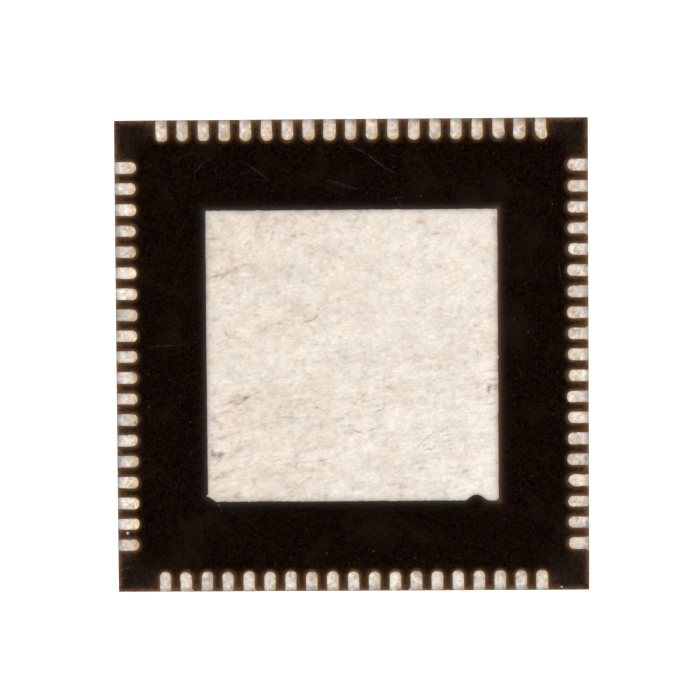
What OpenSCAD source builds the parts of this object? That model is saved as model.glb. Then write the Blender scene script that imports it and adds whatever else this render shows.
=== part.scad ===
// Quad flat no-lead integrated circuit, as it lies on its flat top with the terminals facing up.
// Millimetres. The origin is the centre of the flat top that it lies on, and +Z points out of
// the terminal side. +Y is north, so the four rows of leads are named by the compass.

/* [Package] */
// Side of the square moulded body
body_side = 9; // [7.8:0.1:12]
// Height from the flat top to the terminal faces
body_height = 0.85; // [0.76:0.01:1.2]
// How far the terminals stand proud of the moulding
standoff = 0.02; // [0.01:0.005:0.05]
// Diameter of the pin-one dot in the flat top
dot_diameter = 0.5; // [0.3:0.05:0.8]
// Depth of the pin-one dot
dot_depth = 0.03; // [0.02:0.005:0.06]
// Distance from the pin-one dot's centre to the two nearest sides
dot_inset = 0.9; // [0.6:0.05:1.5]

/* [Lead frame] */
// Thickness of the copper sheet that leads and paddle are etched from
frame_thickness = 0.2; // [0.16:0.01:0.24]
// Depth of the half etch, taken from the terminal side
etch_depth = 0.1; // [0.07:0.005:0.13]

/* [Leads] */
// Distance between the centres of neighbouring leads
lead_pitch = 0.4; // [0.35:0.01:0.65]
// Width of a lead
lead_width = 0.22; // [0.15:0.01:0.25]
// Length of the exposed terminal, from the side wall to its round inner end
lead_length = 0.42; // [0.3:0.01:0.55]
// Length of the half-etched tongue beyond the exposed terminal
lead_tongue = 0.12; // [0.06:0.01:0.2]
// Smallest gap between an end lead and the tie bar in the corner
corner_gap = 0.1; // [0.05:0.01:0.3]

/* [Paddle] */
// Side of the exposed pad
pad_side = 5.55; // [4.4:0.05:6.2]
// Radius of the exposed pad's corners
pad_corner = 0.05; // [0.03:0.01:0.15]
// Length of the pin-one corner cut along the south edge
corner_cut_x = 0.16; // [0.1:0.01:0.5]
// Length of the pin-one corner cut along the west edge
corner_cut_y = 0.1; // [0.08:0.01:0.5]
// Width of the half-etched rim that the moulding grips around the pad
rim_width = 0.15; // [0.08:0.01:0.25]
// Width of the four tie bars that run to the corners of the body
tie_bar_width = 0.2; // [0.12:0.01:0.3]

/* [Resin notch in the south edge of the pad] */
// Width of the notch at the edge of the pad
notch_width = 0.5; // [0.2:0.01:0.6]
// Depth of the notch
notch_depth = 0.11; // [0.04:0.01:0.2]
// Distance from the notch's middle to the east edge of the pad
notch_inset = 0.42; // [0.4:0.01:2]

/* [Die] */
// Side of the square silicon die
die_side = 4; // [2.6:0.1:4.4]
// Thickness of the die
die_thickness = 0.25; // [0.15:0.01:0.3]
// Thickness of the adhesive under the die
attach_thickness = 0.03; // [0.02:0.005:0.05]
// How far the adhesive squeezes out around the die
attach_bleed = 0.1; // [0.05:0.01:0.2]

/* [Bond wires] */
// Diameter of the gold wire
wire_diameter = 0.025; // [0.018:0.001:0.035]
// Height of the loop above the die
loop_height = 0.15; // [0.12:0.01:0.19]
// Radius of the bend at the top of the loop, to the middle of the wire
bend_radius = 0.08; // [0.05:0.01:0.1]
// Diameter of the ball that is pressed onto the die
ball_diameter = 0.06; // [0.045:0.005:0.08]
// Height of that ball
ball_height = 0.02; // [0.01:0.005:0.03]
// Diameter of the flattened stitch on the lead
stitch_diameter = 0.07; // [0.06:0.005:0.1]
// Height of that stitch
stitch_height = 0.01; // [0.006:0.001:0.015]
// Distance from the row of balls to the edge of the die
ball_inset = 0.1; // [0.06:0.01:0.2]
// Distance from the first and last ball of a row to the corner of the die
ball_end_inset = 0.35; // [0.25:0.01:0.6]
// Distance from the stitch to the tip of the lead's tongue
stitch_inset = 0.14; // [0.1:0.01:0.25]

/* [Hidden] */
$fn = 48;

// Turn about +Z that brings the north row to each side
NORTH = 0;
WEST = 90;
SOUTH = 180;
EAST = 270;

// Levels, from the flat top up to the terminals
z_terminal = body_height;
z_moulding = z_terminal - standoff;
z_etch = z_terminal - etch_depth;
z_frame = z_terminal - frame_thickness;
z_attach = z_frame - attach_thickness;
z_die = z_attach - die_thickness;

half_body = body_side / 2;
half_pad = pad_side / 2;
lead_reach = lead_length + lead_tongue;

// As many leads as the side takes at the pitch while the end leads clear the corner tie bars
row_inset = lead_reach + lead_width / 2 + tie_bar_width / sqrt(2) + corner_gap;
lead_steps = floor((body_side - 2 * row_inset) / lead_pitch);
ball_pitch = (die_side - 2 * ball_end_inset) / lead_steps;

// Each wire rises from its ball, bends over and runs straight down to the stitch on its lead
ball_y = die_side / 2 - ball_inset;
stitch_y = half_body - lead_reach + stitch_inset;
neck_height = loop_height - bend_radius;
wire_fall = z_frame - z_die + neck_height;

// Points around the resin notch: a smooth bell
NOTCH_STEPS = 16;
notch_bell = [
    for (i = [0 : NOTCH_STEPS])
        let (t = 2 * i / NOTCH_STEPS - 1)
            [t * notch_width / 2, notch_depth * (1 + cos(180 * t)) / 2]
];

// Overlap of a cutting tool past the face that it cuts
past = 0.05;

// A square with round corners, centred on the origin
module rounded_square(side, radius) {
    straight = side - 2 * radius;
    square([straight, side], center = true);
    square([side, straight], center = true);
    for (x = [-1, 1], y = [-1, 1])
        translate([x * straight / 2, y * straight / 2])
            circle(radius);
}

// Plan of a lead of the given length: flush with the north wall, round at the inner end
module finger(length) {
    round_y = half_body - length + lead_width / 2;
    translate([0, round_y])
        circle(d = lead_width);
    translate([-lead_width / 2, round_y])
        square([lead_width, half_body - round_y]);
}

// One lead of the north row: the exposed terminal and, under it, the longer half-etched tongue
module lead() {
    translate([0, 0, z_etch])
        linear_extrude(etch_depth)
            finger(lead_length);
    translate([0, 0, z_frame])
        linear_extrude(frame_thickness - etch_depth)
            finger(lead_reach);
}

module lead_row(turn) {
    rotate(turn)
        for (i = [0 : lead_steps])
            translate([(i - lead_steps / 2) * lead_pitch, 0, 0])
                lead();
}

module leads(turn) {
    color("#d8d0c4")
        lead_row(turn);
}

// Plan of the exposed pad, with the pin-one corner cut and the resin notch
module pad_plan() {
    difference() {
        rounded_square(pad_side, pad_corner);
        translate([-half_pad, -half_pad])
            polygon([
                [-past, -past],
                [corner_cut_x + past * corner_cut_x / corner_cut_y, -past],
                [-past, corner_cut_y + past * corner_cut_y / corner_cut_x]
            ]);
        translate([half_pad - notch_inset, -half_pad])
            polygon(concat(
                [[-notch_width / 2, -past]],
                notch_bell,
                [[notch_width / 2, -past]]
            ));
    }
}

// Plan of the half-etched copper behind the pad: the rim and the tie bars to the four corners
module rim_plan() {
    square(pad_side + 2 * rim_width, center = true);
    intersection() {
        square(body_side, center = true);
        for (turn = [45, 135])
            rotate(turn)
                square([2 * body_side, tie_bar_width], center = true);
    }
}

module paddle() {
    translate([0, 0, z_etch])
        linear_extrude(etch_depth)
            pad_plan();
    translate([0, 0, z_frame])
        linear_extrude(frame_thickness - etch_depth)
            rim_plan();
}

module die_paddle() {
    color("#e2dacd")
        paddle();
}

module adhesive() {
    translate([0, 0, z_attach])
        linear_extrude(attach_thickness)
            rounded_square(die_side + 2 * attach_bleed, attach_bleed);
}

module die_attach() {
    color("#9a9a98")
        adhesive();
}

module die() {
    translate([-die_side / 2, -die_side / 2, z_die])
        cube([die_side, die_side, die_thickness]);
}

module silicon_die() {
    color("#4a5058")
        die();
}

// One bond wire in its own plane: the ball is at the origin on the die, +X runs towards the
// stitch and +Z is the height above the die. The run is tangent to the bend, and its slope is
// kept to a hundredth of a degree so that the bend ends exactly where the run starts.
module wire(span) {
    centre_distance = norm([span - bend_radius, wire_fall]);
    tangent = atan2(wire_fall, span - bend_radius) + asin(bend_radius / centre_distance);
    slope = round(100 * tangent) / 100;
    run = sqrt(centre_distance * centre_distance - bend_radius * bend_radius);
    overrun = wire_diameter / tan(slope);
    cylinder(h = ball_height, d = ball_diameter);
    cylinder(h = neck_height, d = wire_diameter);
    translate([bend_radius, 0, neck_height])
        rotate([90, slope - 90, 0])
            rotate_extrude(angle = 90 + slope)
                translate([bend_radius, 0])
                    circle(d = wire_diameter);
    difference() {
        translate([bend_radius, 0, neck_height])
            rotate([0, slope, 0])
                translate([0, 0, bend_radius])
                    rotate([0, 90, 0])
                        cylinder(h = run + overrun, d = wire_diameter);
        translate([0, -wire_diameter, neck_height - wire_fall - wire_diameter * 2])
            cube([span + 2 * overrun, 2 * wire_diameter, wire_diameter * 2]);
    }
    translate([span, 0, neck_height - wire_fall])
        cylinder(h = stitch_height, d = stitch_diameter);
}

// The wires of the north row fan out from the die's pads to the tongues of the leads
module wire_row(turn) {
    rotate(turn)
        for (i = [0 : lead_steps]) {
            ball_x = (i - lead_steps / 2) * ball_pitch;
            stitch_x = (i - lead_steps / 2) * lead_pitch;
            reach = [stitch_x - ball_x, stitch_y - ball_y];
            translate([ball_x, ball_y, z_die])
                rotate([180, 0, atan2(reach.y, reach.x)])
                    wire(norm(reach));
        }
}

module wires(turn) {
    color("#d8a93c")
        wire_row(turn);
}

// The moulding fills the block around everything that it was moulded over
module mould_body() {
    color("#14100d")
        difference() {
            translate([-half_body, -half_body, 0])
                cube([body_side, body_side, z_moulding]);
            paddle();
            adhesive();
            die();
            for (turn = [NORTH, EAST, SOUTH, WEST]) {
                lead_row(turn);
                wire_row(turn);
            }
            translate([dot_inset - half_body, dot_inset - half_body, -past])
                cylinder(h = dot_depth + past, d = dot_diameter);
        }
}

mould_body();
die_paddle();
leads(NORTH);  // leads_north
leads(EAST);  // leads_east
leads(SOUTH);  // leads_south
leads(WEST);  // leads_west
die_attach();
silicon_die();
wires(NORTH);  // wires_north
wires(EAST);  // wires_east
wires(SOUTH);  // wires_south
wires(WEST);  // wires_west
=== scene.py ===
# %% [markdown]
# # A no-lead chip package, lying on its flat top
#
# The object is a quad flat no-lead package, seen from its soldering side. A square of black mould
# compound holds rows of tinned copper leads along its four sides and a large tinned pad in the
# middle. This lesson dresses the exact solids of the package for a studio picture. The solids come
# in as a fixed frame in metres, and everything that is added sits in that same frame.

# %% Load the frame and keep its box
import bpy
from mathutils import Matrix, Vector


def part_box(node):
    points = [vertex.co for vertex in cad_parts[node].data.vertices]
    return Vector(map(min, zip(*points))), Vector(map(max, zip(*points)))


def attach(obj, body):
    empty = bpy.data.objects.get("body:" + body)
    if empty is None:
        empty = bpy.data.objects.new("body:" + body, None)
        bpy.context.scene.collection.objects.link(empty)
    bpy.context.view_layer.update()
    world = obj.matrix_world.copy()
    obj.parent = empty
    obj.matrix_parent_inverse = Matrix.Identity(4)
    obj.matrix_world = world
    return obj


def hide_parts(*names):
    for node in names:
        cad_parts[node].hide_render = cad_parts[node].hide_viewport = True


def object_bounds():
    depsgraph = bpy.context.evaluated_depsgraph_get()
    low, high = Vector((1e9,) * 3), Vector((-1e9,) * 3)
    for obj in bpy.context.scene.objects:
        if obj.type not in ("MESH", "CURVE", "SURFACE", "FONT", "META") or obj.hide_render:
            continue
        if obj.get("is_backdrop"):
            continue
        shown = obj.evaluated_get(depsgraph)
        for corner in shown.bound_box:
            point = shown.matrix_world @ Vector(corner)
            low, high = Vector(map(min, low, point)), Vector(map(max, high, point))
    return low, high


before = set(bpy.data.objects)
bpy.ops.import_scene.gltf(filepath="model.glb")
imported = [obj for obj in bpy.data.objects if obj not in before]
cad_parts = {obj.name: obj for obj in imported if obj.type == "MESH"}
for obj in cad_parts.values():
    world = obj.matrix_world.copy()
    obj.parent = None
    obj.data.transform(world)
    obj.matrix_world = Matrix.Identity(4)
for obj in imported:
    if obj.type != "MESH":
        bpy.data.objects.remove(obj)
cad_low, cad_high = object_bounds()
print("solids:", ", ".join(sorted(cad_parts)))
print("box of the solids, mm:", [round(1000 * side, 3) for side in cad_high - cad_low])

# %% [markdown]
# ## Sizes
#
# A package drawing gives a few sizes in millimetres, and all the rest follows from them. The levels
# and the body's size are read from the solids, so that the dressed pieces can't drift away from
# them. Only what a box can't tell, such as the spacing of the leads, is written here as a number,
# and the print compares it with the solids.

# %% Sizes of the package, in millimetres
import math
import bpy
import numpy as np
from mathutils import Matrix, Vector

MM = 0.001
MICRON = 0.001
LEADS_IN_ROW = 19
LEAD_PITCH = 0.4
LEAD_WIDTH = 0.22
LEAD_LENGTH = 0.42
PAD_SIDE = 5.55
RIM_WIDTH = 0.15
TIE_BAR_WIDTH = 0.2

body_high = Vector(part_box("mould_body")[1]) / MM
row_low, row_high = (Vector(corner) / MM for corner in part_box("leads_north"))
HALF_BODY = body_high.x
HALF_PAD = PAD_SIDE / 2
LEAD_REACH = row_high.y - row_low.y
Z_MOULDING = body_high.z
Z_FRAME = row_low.z
Z_TERMINAL = row_high.z
Z_ETCH = (Z_FRAME + Z_TERMINAL) / 2

row_width = (LEADS_IN_ROW - 1) * LEAD_PITCH + LEAD_WIDTH
print(f"row of leads {row_width:.2f} mm, in the solids {row_high.x - row_low.x:.2f} mm")
print(f"terminals stand {1000 * (Z_TERMINAL - Z_MOULDING):.0f} micrometres proud of the moulding")

# %% [markdown]
# ## Camera
#
# The photograph looks almost straight down, from a little to the upper right, through a long lens:
# no side wall shows, and opposite sides of the square are nearly the same length. A camera can be
# turned by a tracking constraint, but near the vertical such a constraint spins freely. Here the
# three axes of the camera are worked out from where it stands, where it aims and which way is up.

# %% Camera above the terminals
CAMERA_PLACE = Vector((0.9, 2.4, 54.1)) * MM
CAMERA_AIM = Vector((-0.04, 0.11, 0.85)) * MM
CAMERA_ROLL = math.radians(0.4)
SENSOR_WIDTH, FOCAL_LENGTH = 36, 144
NEAREST, FARTHEST = 5 * MM, 2

camera_data = bpy.data.cameras.new("camera")
camera_data.sensor_width = SENSOR_WIDTH
camera_data.lens = FOCAL_LENGTH
camera_data.clip_start = NEAREST
camera_data.clip_end = FARTHEST
camera = bpy.data.objects.new("camera", camera_data)
bpy.context.collection.objects.link(camera)
bpy.context.scene.camera = camera

back = (CAMERA_PLACE - CAMERA_AIM).normalized()
right = Vector((math.sin(CAMERA_ROLL), math.cos(CAMERA_ROLL), 0)).cross(back).normalized()
up = back.cross(right)
camera_turn = Matrix((right, up, back)).transposed().to_4x4()
camera.matrix_world = Matrix.Translation(CAMERA_PLACE) @ camera_turn
print(f"camera {1000 * (CAMERA_PLACE - CAMERA_AIM).length:.1f} mm away, tilted "
      f"{math.degrees(math.acos(back.z)):.1f} degrees")

# %% [markdown]
# ## Floor
#
# The package lies on a plain white sheet that the light burns out to pure white, right up to the
# body's edge. A white sheet alone would keep a grey shadow around the package. A light table is the
# studio's answer to that: the sheet glows a little by itself, and the shadow drowns in the glow.

# %% White floor
FLOOR_HALF = 0.3
FLOOR_DROP = 0.00001
FLOOR_GLOW = 0.35

floor_corners = ((-1, -1), (1, -1), (1, 1), (-1, 1))
floor_mesh = bpy.data.meshes.new("floor")
floor_mesh.from_pydata([(x * FLOOR_HALF, y * FLOOR_HALF, -FLOOR_DROP) for x, y in floor_corners],
                       [], [(0, 1, 2, 3)])
floor = bpy.data.objects.new("floor", floor_mesh)
bpy.context.collection.objects.link(floor)
floor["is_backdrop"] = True

paper = bpy.data.materials.new("white_paper")
paper.use_nodes = True
paper_shader = paper.node_tree.nodes["Principled BSDF"]
paper_shader.inputs["Base Color"].default_value = (0.9, 0.9, 0.9, 1)
paper_shader.inputs["Roughness"].default_value = 0.9
paper_shader.inputs["Specular IOR Level"].default_value = 0.1
paper_shader.inputs["Emission Color"].default_value = (1, 1, 1, 1)
paper_shader.inputs["Emission Strength"].default_value = FLOOR_GLOW
floor_mesh.materials.append(paper)
print("floor", 2 * FLOOR_HALF, "m wide")

# %% [markdown]
# ## Light
#
# Black mould compound turns grey as soon as it mirrors something bright, so no lamp stands overhead,
# where the camera would see it mirrored: four soft boxes stand around the package instead, and a
# faint sky fills in. The box on the right is the strongest, which gives the pad its slight fall of
# tone towards the left. A lamp's power is worked out from the brightness that its face should have.

# %% Soft boxes around the package
BOX_SIDE = 0.09
BOX_DISTANCE = 0.12
BOX_ELEVATION = math.radians(42)
BOX_RADIANCE = {0: 4.4, 90: 3.7, 180: 3.4, 270: 3.7}
SKY = 0.1

for turn, radiance in BOX_RADIANCE.items():
    lamp = bpy.data.lights.new(f"soft_box_{turn}", "AREA")
    lamp.size = BOX_SIDE
    lamp.energy = radiance * math.pi * BOX_SIDE ** 2
    soft_box = bpy.data.objects.new(f"soft_box_{turn}", lamp)
    soft_box.visible_camera = False
    bpy.context.collection.objects.link(soft_box)
    angle = math.radians(turn)
    outwards = Vector((math.cos(angle) * math.cos(BOX_ELEVATION),
                       math.sin(angle) * math.cos(BOX_ELEVATION),
                       math.sin(BOX_ELEVATION)))
    soft_box.location = outwards * BOX_DISTANCE
    soft_box.rotation_mode = "QUATERNION"
    soft_box.rotation_quaternion = outwards.to_track_quat("Z", "Y")

world = bpy.data.worlds.new("sky")
world.use_nodes = True
world.node_tree.nodes["Background"].inputs["Color"].default_value = (1, 1, 1, 1)
world.node_tree.nodes["Background"].inputs["Strength"].default_value = SKY
bpy.context.scene.world = world
bpy.context.scene.view_settings.view_transform = "Standard"
print(len(BOX_RADIANCE), "soft boxes and a sky of", SKY)

# %% [markdown]
# ## Helpers for finishes
#
# A finish is a small net of nodes around one shader. The same few nodes come back in each finish:
# a noise at a given grain size, a sum, a blend of two colours, and a stored value that a mesh
# carries in its points. Short helpers keep each finish down to what is special about it. A helper
# needn't be told which net it works in, because each node and each socket knows its own net. The
# grain size is given in millimetres, because that is how it is measured on the photograph.

# %% Helpers for the net of a finish
def new_finish(name):
    """An empty finish: the material and its shader."""
    finish = bpy.data.materials.new(name)
    finish.use_nodes = True
    return finish, finish.node_tree.nodes["Principled BSDF"]


def new_node(neighbour, kind):
    """A new node in the net that a node or a socket belongs to."""
    return neighbour.id_data.nodes.new(f"ShaderNode{kind}")


def feed(value, socket):
    """Gives a socket its value: a link from another socket, or else a number or a colour."""
    if isinstance(value, bpy.types.NodeSocket):
        socket.id_data.links.new(value, socket)
    else:
        socket.default_value = value


def place_in_part(shader):
    """The socket that gives each point's place in the package, in metres."""
    return new_node(shader, "TexCoord").outputs["Object"]


def stored(shader, name):
    """The socket of a value that the mesh carries in its points."""
    attribute = new_node(shader, "Attribute")
    attribute.attribute_name = name
    return attribute.outputs["Fac"]


print("helpers for nets ready")

# %% Helpers for noises, sums and blends
def grain(place, size_mm, detail=2.0, stretch=(1, 1, 1), turn=0.0):
    """The socket of a noise with blobs size_mm wide, drawn out along turned axes by stretch."""
    noise = new_node(place, "TexNoise")
    noise.inputs["Scale"].default_value = 1 / (size_mm * MM)
    noise.inputs["Detail"].default_value = detail
    mapping = new_node(place, "Mapping")
    mapping.vector_type = "TEXTURE"
    mapping.inputs["Rotation"].default_value = (0, 0, turn)
    mapping.inputs["Scale"].default_value = stretch
    feed(place, mapping.inputs["Vector"])
    feed(mapping.outputs["Vector"], noise.inputs["Vector"])
    return noise.outputs["Fac"]


def spread(value, low, high, to_low, to_high):
    """The socket of a value remapped from one range to another and kept inside it."""
    remap = new_node(value, "MapRange")
    ends = {"Value": value, "From Min": low, "From Max": high, "To Min": to_low, "To Max": to_high}
    for name, end in ends.items():
        feed(end, remap.inputs[name])
    return remap.outputs["Result"]


def arithmetic(operation, *values, kind="Math", result="Value"):
    """The socket of a sum done on sockets and numbers."""
    sockets = [value for value in values if isinstance(value, bpy.types.NodeSocket)]
    node = new_node(sockets[0], kind)
    node.operation = operation
    for value, socket in zip(values, node.inputs):
        feed(value, socket)
    return node.outputs[result]


def blend_colours(share, first, second):
    """The socket of a mix of two colours. Each may be a colour or a socket."""
    mix = new_node(share, "Mix")
    mix.data_type = "RGBA"
    feed(share, mix.inputs["Factor"])
    for name, colour in (("A", first), ("B", second)):
        target = [s for s in mix.inputs if s.name == name and s.type == "RGBA"][0]
        feed((*colour, 1) if isinstance(colour, tuple) else colour, target)
    return [s for s in mix.outputs if s.type == "RGBA"][0]


def bump(height, depth_mm, strength, shader):
    """Presses a height into the shader's normal."""
    press = new_node(shader, "Bump")
    press.inputs["Strength"].default_value = strength
    press.inputs["Distance"].default_value = depth_mm * MM
    feed(height, press.inputs["Height"])
    feed(press.outputs["Normal"], shader.inputs["Normal"])


print("helpers for noises, sums and blends ready")

# %% [markdown]
# ## Tin plate
#
# Leads and pad are copper with a matte tin plating a few micrometres thick. Matte tin is a rough
# metal: it scatters so widely that it looks almost like cream paint, with a fine mottle from its
# crystals, a faint grain along the direction in which the sheet was rolled, and patches that are a
# hint pinker, greener or bluer than the rest. The colour output of a noise has three channels that
# vary on their own, which gives such patches at once. Most patches are only warmer or cooler, so a
# second such noise is projected onto the line from red to blue. Handling leaves stains and rubbed
# places, which differ from point to point and can't come from a noise. So the finish also takes two
# stored values from the mesh, a tone and a stain. Where the plating is darker it is also a little
# browner, so the meshes later derive part of the stain from the tone.

# %% Tints of the tin plate
TINT_SIZE, TINT_STRENGTH = 0.3, 0.07
WARM_SIZE, WARM_STRENGTH = 0.5, 0.14
TINT_DETAIL = 4
WARM_TO_COOL = (1, 0, -1)


def vector_sum(operation, *values):
    """The socket of a sum done on three channels at once."""
    return arithmetic(operation, *values, kind="VectorMath", result="Vector")


def tints(place, size_mm):
    """The colour socket of a noise with patches size_mm wide."""
    noise = new_node(place, "TexNoise")
    noise.inputs["Scale"].default_value = 1 / (size_mm * MM)
    noise.inputs["Detail"].default_value = TINT_DETAIL
    feed(place, noise.inputs["Vector"])
    return noise.outputs["Color"]


matte_tin, shader = new_finish("matte_tin")
place = place_in_part(shader)
patches = vector_sum("MULTIPLY_ADD", tints(place, TINT_SIZE),
                     (TINT_STRENGTH,) * 3, (1 - TINT_STRENGTH / 2,) * 3)
warm = vector_sum("PROJECT", tints(place, WARM_SIZE), WARM_TO_COOL)
tint = vector_sum("MULTIPLY_ADD", warm, (WARM_STRENGTH,) * 3, patches)
print("tints about", TINT_SIZE, "and", WARM_SIZE, "mm wide")

# %% Tin plate
TIN_LIGHT = (0.656, 0.607, 0.560)
TIN_DARK = (0.579, 0.531, 0.481)
TARNISH = (0.52, 0.34, 0.18)
STAIN_MEAN, STAIN_PER_TONE = 0.1, 0.9
CRYSTAL_SIZE, CRYSTAL_DEPTH = 0.035, 0.0012
ROLLED_SIZE, ROLLED_STRETCH = 0.03, (3, 1, 1)
ROLLING_ANGLE = math.radians(9)

crystals = grain(place, CRYSTAL_SIZE, 3)
rolled = grain(place, ROLLED_SIZE, 3, stretch=ROLLED_STRETCH, turn=ROLLING_ANGLE)
both = arithmetic("ADD", crystals, rolled)
mottle = spread(both, 0.7, 1.3, 0, 1)
tin = blend_colours(mottle, TIN_DARK, TIN_LIGHT)
tarnished = blend_colours(stored(shader, "stain"), tin, TARNISH)
tinted = vector_sum("MULTIPLY", tarnished, tint)
toned = vector_sum("MULTIPLY", tinted, stored(shader, "tone"))
feed(toned, shader.inputs["Base Color"])
feed(spread(mottle, 0, 1, 0.7, 0.6), shader.inputs["Roughness"])
shader.inputs["Metallic"].default_value = 0.85
bump(both, CRYSTAL_DEPTH, 0.5, shader)
print("finish:", matte_tin.name)

# %% [markdown]
# ## Sawn copper
#
# A saw with a diamond blade parts the packages, and it leaves bare copper where it goes through a
# lead or a tie bar. That copper is bright, slightly pink and drawn out into fine lines along the
# cut. A noise that is stretched in the two level directions and left short in height gives lines
# that run round all four walls.

# %% Sawn copper
COPPER_BRIGHT = (0.62, 0.36, 0.23)
COPPER_DULL = (0.40, 0.22, 0.13)
SAW_STRETCH = (16, 16, 1)
SAW_LINE, SAW_DEPTH = 0.014, 0.002

sawn_copper, shader = new_finish("sawn_copper")
place = place_in_part(shader)
saw_lines = grain(place, SAW_LINE, 3, stretch=SAW_STRETCH)
copper_share = spread(saw_lines, 0.35, 0.65, 0, 1)
copper = blend_colours(copper_share, COPPER_DULL, COPPER_BRIGHT)
feed(copper, shader.inputs["Base Color"])
feed(spread(saw_lines, 0.3, 0.7, 0.55, 0.38), shader.inputs["Roughness"])
shader.inputs["Metallic"].default_value = 1.0
bump(saw_lines, SAW_DEPTH, 0.6, shader)
print("finish:", sawn_copper.name)

# %% [markdown]
# ## Helpers for meshes
#
# The pad and the leads are built as meshes point by point, because their edges are ragged and each
# lead differs a little. Noise for shapes has to be the same in each run, so it comes from a table
# of random values with a fixed seed, smoothly blended between its cells. Every mesh is then welded,
# shaded smooth with sharp edges where it turns hard, and tied to the package.

# %% Noise for shapes
import functools

NOISE_CELLS = 512
SLOW_BLOB, QUICK_BLOB = 0.4, 0.06


def ease(share):
    """0 below 0, 1 above 1, and a smooth step in between."""
    share = np.clip(share, 0, 1)
    return share * share * (3 - 2 * share)


@functools.cache
def noise_table(seed):
    """A square table of random values from -1 to 1, the same for the same seed."""
    return np.random.default_rng(seed).uniform(-1, 1, (NOISE_CELLS, NOISE_CELLS))


def rough(x, y, cell, seed):
    """Smooth noise from -1 to 1 at places x and y, with blobs about one cell wide."""
    table = noise_table(seed)
    column, row = np.asarray(x) / cell, np.asarray(y) / cell
    i, j = np.floor(column).astype(int), np.floor(row).astype(int)
    u, v = ease(column - i), ease(row - j)
    corner = lambda a, b: table[(j + b) % NOISE_CELLS, (i + a) % NOISE_CELLS]
    near = corner(0, 0) * (1 - u) + corner(1, 0) * u
    far = corner(0, 1) * (1 - u) + corner(1, 1) * u
    return near * (1 - v) + far * v


def ragged(along, seed, slow, quick):
    """How far an etched edge wanders inwards or outwards at places along it, in millimetres."""
    level = 0 * along
    return slow * rough(along, level, SLOW_BLOB, seed) + quick * rough(along, level, QUICK_BLOB, seed + 1)


print("a blob of the noise at its middle:", round(float(rough(0.5, 0.5, 1, 1)), 3))

# %% From points to a piece
import bmesh

WELD_GAP = 1e-9
SHARP_TURN = math.radians(50)


def weld(mesh):
    """Joins points that lie on the same spot. Returns how many edges don't close the skin."""
    skin = bmesh.new()
    skin.from_mesh(mesh)
    bmesh.ops.remove_doubles(skin, verts=skin.verts, dist=WELD_GAP)
    loose = sum(not edge.is_manifold for edge in skin.edges)
    skin.to_mesh(mesh)
    skin.free()
    return loose


def add_piece(name, points, faces, finishes, replaced=(), finish_of_face=None, values=None):
    """Makes a mesh piece from points in millimetres and ties it to the package."""
    mesh = bpy.data.meshes.new(name)
    mesh.from_pydata((np.asarray(points) * MM).tolist(), [], faces)
    for finish in finishes:
        mesh.materials.append(finish)
    if finish_of_face is not None:
        mesh.polygons.foreach_set("material_index", finish_of_face)
    for key, numbers in (values or {}).items():
        mesh.attributes.new(key, "FLOAT", "POINT").data.foreach_set("value", np.ravel(numbers))
    loose = weld(mesh)
    mesh.shade_smooth()
    mesh.set_sharp_from_angle(angle=SHARP_TURN)
    piece = bpy.data.objects.new(name, mesh)
    bpy.context.collection.objects.link(piece)
    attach(piece, "root")
    if replaced:
        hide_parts(*replaced)
    print(f"{name}: {len(mesh.vertices)} points, {len(mesh.polygons)} faces, {loose} open edges")


print("pieces are welded within", WELD_GAP, "m")

# %% [markdown]
# ## Outline of the pad
#
# The exposed pad is the full-thickness middle of the die paddle. It was etched and not cut, so its
# edges wander by a few micrometres. One corner is cut off to mark terminal one, and resin has
# crept into a bell-shaped notch in the south edge. The pad could be a flat plate with a drawn
# texture, but its rubbed skin should catch the light. So it starts as a fine square grid, and the
# grid's border is pulled to the outline, which keeps even little faces everywhere.

# %% Helpers for the outline
GRID = 300

steps = np.linspace(-HALF_PAD, HALF_PAD, GRID + 1)
grid_x, grid_y = np.meshgrid(steps, steps)


def bell(offset):
    """A smooth hump: 1 in the middle, 0 from one unit away."""
    return (1 + np.cos(np.pi * np.clip(offset, -1, 1))) / 2


def beside(distance, reach):
    """1 at an edge, falling smoothly to 0 at the given reach inside it."""
    return 1 - ease(distance / reach)


def trim_corner(x, y, side_x, side_y, length_x, length_y, straight):
    """Draws the grid in at one corner, to a straight cut or to an arc."""
    u = np.clip((side_x * x - HALF_PAD) / length_x + 1, 0, None)
    v = np.clip((side_y * y - HALF_PAD) / length_y + 1, 0, None)
    inside = (u > 0) & (v > 0)
    spread_out = u + v if straight else np.hypot(u, v)
    shrink = np.where(inside, np.maximum(u, v) / np.where(inside, spread_out, 1), 1)
    return (np.where(inside, side_x * (HALF_PAD + length_x * (u * shrink - 1)), x),
            np.where(inside, side_y * (HALF_PAD + length_y * (v * shrink - 1)), y))


print(f"grid of {GRID} x {GRID} faces, {1000 * (steps[1] - steps[0]):.1f} micrometres each")

# %% Outline of the pad
EDGE_REACH = 0.12
NOTCH_REACH = 0.36
NOTCH_X, NOTCH_HALF, NOTCH_DEPTH = HALF_PAD - 0.42, 0.25, 0.11
CUT_X, CUT_Y = 0.16, 0.1
SPUR_Y, SPUR_HALF, SPUR_OUT = -2.665, 0.03, 0.03
BUMP_Y, BUMP_HALF, BUMP_OUT = -0.04, 0.05, 0.02
CORNER_ARCS = ((1, 1, 0.045), (-1, 1, 0.05), (1, -1, 0.055))
EAST_WANDER, WEST_WANDER, LEVEL_WANDER = (0.003, 0.004), (0.002, 0.002), (0.003, 0.006)

pad_x, pad_y = trim_corner(grid_x, grid_y, -1, -1, CUT_X, CUT_Y, True)
for side_x, side_y, radius in CORNER_ARCS:
    pad_x, pad_y = trim_corner(pad_x, pad_y, side_x, side_y, radius, radius, False)

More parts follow.
